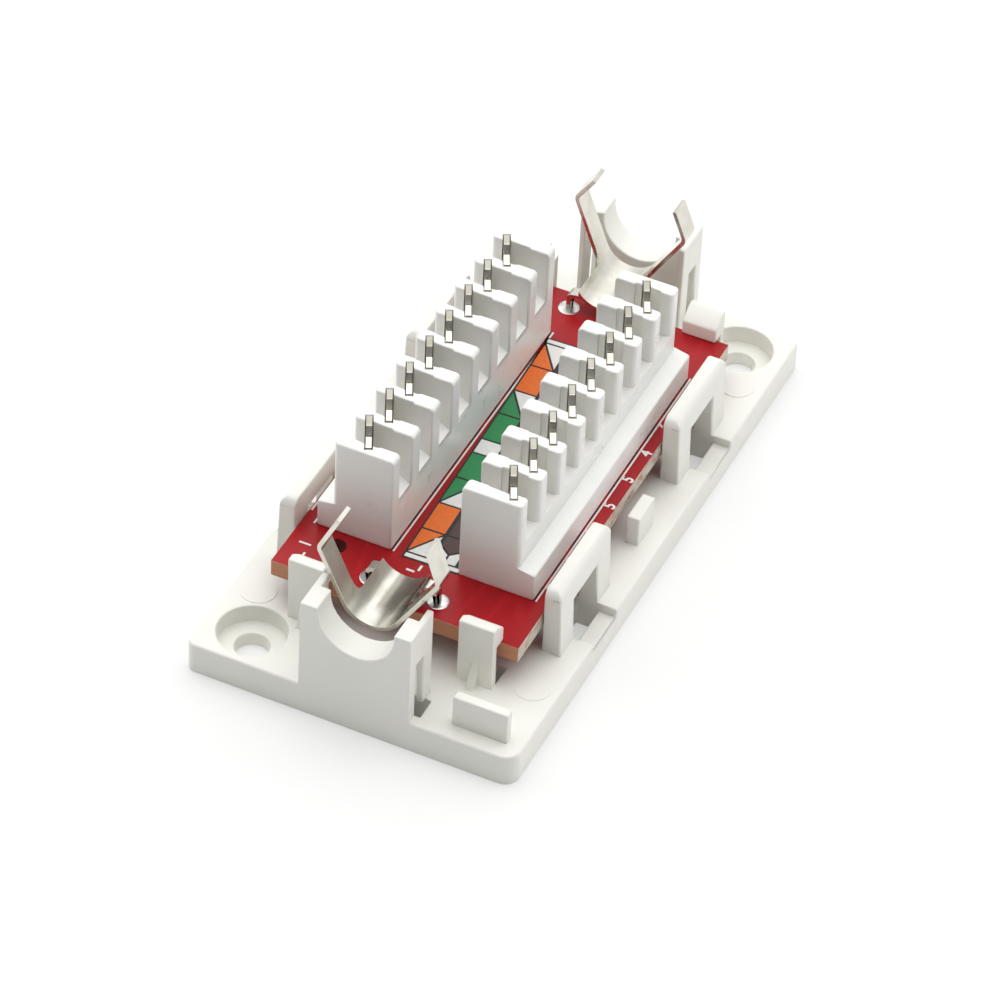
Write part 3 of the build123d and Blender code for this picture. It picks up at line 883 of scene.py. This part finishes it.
class BOX_OT_numbers(bpy.types.Operator):
    """Makes the printed way numbers beside the blocks"""

    bl_idname = "box.numbers"
    bl_label = "Printed numbers"

    def execute(self, context):
        sizes, colours, _ = settings()
        work = bmesh.new()
        for words, x, y in NUMBERS:
            self.add_number(work, words, x * MM, y * MM, sizes)
        piece = new_piece("way_numbers", work, [ink_finish("ink_number", colours.white)])
        belongs(piece, "circuit_board")
        return {"FINISHED"}

    def add_number(self, work, words, x, y, sizes):
        """Adds one number, flat on the board round x and y, read along the board's length."""
        curve = bpy.data.curves.new("number", "FONT")
        curve.body = words
        curve.size = FONT_SIZE * sizes.numeral
        curve.extrude = sizes.ink / 2
        curve.offset = sizes.stroke
        curve.align_x = "CENTER"
        curve.align_y = "CENTER"
        maker = bpy.data.objects.new("number", curve)
        bpy.context.scene.collection.objects.link(maker)
        bpy.context.view_layer.update()
        shaped = maker.evaluated_get(bpy.context.evaluated_depsgraph_get())
        mesh = bpy.data.meshes.new_from_object(shaped)
        turn = Matrix.Rotation(pi / 2, 4, "Z") @ Matrix.Diagonal((NUMERAL_SQUEEZE, 1, 1, 1))
        mesh.transform(Matrix.Translation((x, y, BOARD_HIGH.z + sizes.ink / 2)) @ turn)
        work.from_mesh(mesh)
        bpy.data.objects.remove(maker)
        bpy.data.curves.remove(curve)
        bpy.data.meshes.remove(mesh)
        bmesh.ops.remove_doubles(work, verts=work.verts, dist=MERGE_DISTANCE)


SPRING_STREAKS = (0.3, 3.0, 0.3)
SPRING_TARNISH = (0.45, 0.41, 0.33)
# Each clip's end, and the share of painted dark reflection on its flank
SPRING_ENDS = (("front", 0.68), ("rear", 0.0))


class BOX_OT_clips(bpy.types.Operator):
    """Makes the two spring clips"""

    bl_idname = "box.clips"
    bl_label = "Spring clips"

    def execute(self, context):
        sizes, colours, _ = settings()
        for end, flank in SPRING_ENDS:
            name = f"spring_metal_{end}"
            looks = (0.1, SPRING_STREAKS, SPRING_TARNISH, flank)
            finish = plated_metal(name, colours.spring, *looks)
            node = f"shield_clip_{end}"
            piece = softened_solid(node, f"spring_clip_{end}", finish, sizes.metal_edge)
            belongs(piece, "spring_metal", node)
        return {"FINISHED"}


# From the middle of a joint's underside to the board: radius in millimetres, and share of height
JOINT_PROFILE = (
    (0.0, 0.04),
    (0.5, 0.0),
    (0.56, 0.25),
    (0.66, 0.5),
    (0.8, 0.76),
    (0.97, 0.96),
    (0.98, 1.0),
    (0.0, 1.0),
)
JOINT_STEPS = 20


class BOX_OT_solder(bpy.types.Operator):
    """Makes the solder joints under the board, each a hollow-sided cone round its tail"""

    bl_idname = "box.solder"
    bl_label = "Solder joints"

    def execute(self, context):
        _, colours, _ = settings()
        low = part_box("solder_joints")[0].z
        deep = BOARD_LOW.z - low
        profile = [(radius * MM, low + share * deep) for radius, share in JOINT_PROFILE]
        tails = [
            (side * CONTACT_X, FIRST_CONTACT_Y + PITCH * way)
            for side in (-1, 1)
            for way in range(WAYS)
        ]
        work = bmesh.new()
        for x, y in tails + LEGS:
            spun(work, x, y, profile, JOINT_STEPS)
        finish = solder_finish("solder_metal", colours.solder, 0.5 * MM)
        belongs(round_piece("solder_fillets", work, finish), "solder", "solder_joints")
        return {"FINISHED"}


# Stage

# The room's light grows from the low front to the upper rear: along Y, with a share of a
# direction's rise added and a share of its X taken off
ROOM_SCALE = 1.6
DARKEST = -0.35
BRIGHTEST = 0.4
RISE_SHARE = 0.5
ACROSS_SHARE = 0.28
ZENITH = ((0.55, 0.0), (0.9, 1.0))

FLOOR_REACH = 3.0
FLOOR_GAP = 0.02 * MM
PAPER = (0.86, 0.86, 0.855)
# How much of the floor's glow the mirrors see
MIRRORED_GLOW = 0.4
SENSOR_WIDTH = 36.0
NEAREST_SEEN = 0.01


def room_stops(stage):
    """The room's brightness from its low front, past its sides, to its rear, as a ramp's stops."""
    side = -DARKEST / (BRIGHTEST - DARKEST)
    lights = (stage.front_light, stage.side_light, stage.dome_light)
    return [(place, light / ROOM_SCALE) for place, light in zip((0.0, side, 1.0), lights)]


def floor_finish(stage):
    """A pale floor that stays white in view and still carries the box's shadow."""
    finish = Finish("floor_paper", Roughness=0.9, Emission_Strength=1.0)
    seen = finish.ray("Is Camera Ray")
    finish.colour(finish.blend(seen, PAPER, (stage.floor_tone,) * 3))
    share = seen + MIRRORED_GLOW * finish.ray("Is Glossy Ray")
    glow = stage.floor_glow
    light = finish.blend(share, BLACK, (glow, glow, 0.99 * glow))
    finish.feed(finish.shader.inputs["Emission Color"], light)
    finish.relief(finish.noise(1.5 * MM, 2.0), 0.02 * MM, 0.2)
    return finish.material


class BOX_OT_stage(bpy.types.Operator):
    """Makes the floor, the room's light and the camera"""

    bl_idname = "box.stage"
    bl_label = "Floor, light and camera"

    def execute(self, context):
        _, _, stage = settings()
        self.make_floor(stage)
        self.light_room(stage)
        self.aim_camera(stage)
        context.scene.view_settings.view_transform = "Standard"
        return {"FINISHED"}

    def make_floor(self, stage):
        """A wide floor just under the plate."""
        work = bmesh.new()
        bmesh.ops.create_grid(work, x_segments=1, y_segments=1, size=FLOOR_REACH)
        bmesh.ops.translate(work, verts=work.verts, vec=(0.0, 0.0, -FLOOR_GAP))
        new_piece("floor", work, [floor_finish(stage)])

    def light_room(self, stage):
        """Light from all round but the low front, and white where the camera sees the room."""
        world = bpy.data.worlds.new("room")
        bpy.context.scene.world = world
        room = Recipe(world, "Background")
        direction = room.node("ShaderNodeTexCoord", {}, {}, "Generated")
        rise = room.along("Z", direction)
        back = room.along("Y", direction) + RISE_SHARE * rise
        back = back - ACROSS_SHARE * room.along("X", direction)
        share = (back - DARKEST) * (1 / (BRIGHTEST - DARKEST))
        dome = room.blend(room.ramp(share, *room_stops(stage)), BLACK, WHITE)
        seen = room.ray("Is Camera Ray")
        room.feed(room.shader.inputs["Color"], room.blend(seen, dome, WHITE))
        level = ROOM_SCALE * (1.0 + stage.overhead * room.ramp(rise, *ZENITH))
        room.feed(room.shader.inputs["Strength"], seen + (1.0 - seen) * level)

    def aim_camera(self, stage):
        """The camera at the photograph's place, turn and tilt."""
        turn, height, roll = stage.azimuth, stage.elevation, stage.roll
        forward = Vector((-sin(turn) * cos(height), cos(turn) * cos(height), -sin(height)))
        level = Vector((cos(turn), sin(turn), 0.0))
        upright = level.cross(forward)
        right = level * cos(roll) + upright * sin(roll)
        up = upright * cos(roll) - level * sin(roll)
        camera = bpy.data.objects.new("camera", bpy.data.cameras.new("camera"))
        axes = Matrix((right, up, -forward)).transposed().to_4x4()
        camera.matrix_world = Matrix.Translation(stage.place) @ axes
        camera.data.lens = stage.lens
        camera.data.sensor_width = SENSOR_WIDTH
        camera.data.clip_start = NEAREST_SEEN
        bpy.context.scene.collection.objects.link(camera)
        bpy.context.scene.camera = camera


OPERATORS = (
    BOX_OT_moulding,
    BOX_OT_board,
    BOX_OT_pads,
    BOX_OT_fields,
    BOX_OT_lines,
    BOX_OT_numbers,
    BOX_OT_blocks,
    BOX_OT_contacts,
    BOX_OT_clips,
    BOX_OT_solder,
    BOX_OT_stage,
)


class BOX_PT_panel(bpy.types.Panel):
    """Lists the box's pieces and the stage"""

    bl_idname = "BOX_PT_panel"
    bl_label = "Connection box base"
    bl_space_type = "VIEW_3D"
    bl_region_type = "UI"
    bl_category = "Box base"

    def draw(self, context):
        for operator in OPERATORS:
            self.layout.operator(operator.bl_idname)


GROUPS = (BoxSizes, BoxColours, StageSettings)


def register():
    for item in GROUPS + OPERATORS + (BOX_PT_panel,):
        bpy.utils.register_class(item)
    bpy.types.Scene.box_sizes = PointerProperty(type=BoxSizes)
    bpy.types.Scene.box_colours = PointerProperty(type=BoxColours)
    bpy.types.Scene.box_stage = PointerProperty(type=StageSettings)


def unregister():
    del bpy.types.Scene.box_stage
    del bpy.types.Scene.box_colours
    del bpy.types.Scene.box_sizes
    for item in reversed(GROUPS + OPERATORS + (BOX_PT_panel,)):
        bpy.utils.unregister_class(item)


def main():
    """Makes every piece and the stage."""
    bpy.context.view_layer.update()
    register()
    for operator in OPERATORS:
        group, name = operator.bl_idname.split(".")
        getattr(getattr(bpy.ops, group), name)()


if __name__ == "__main__":
    main()
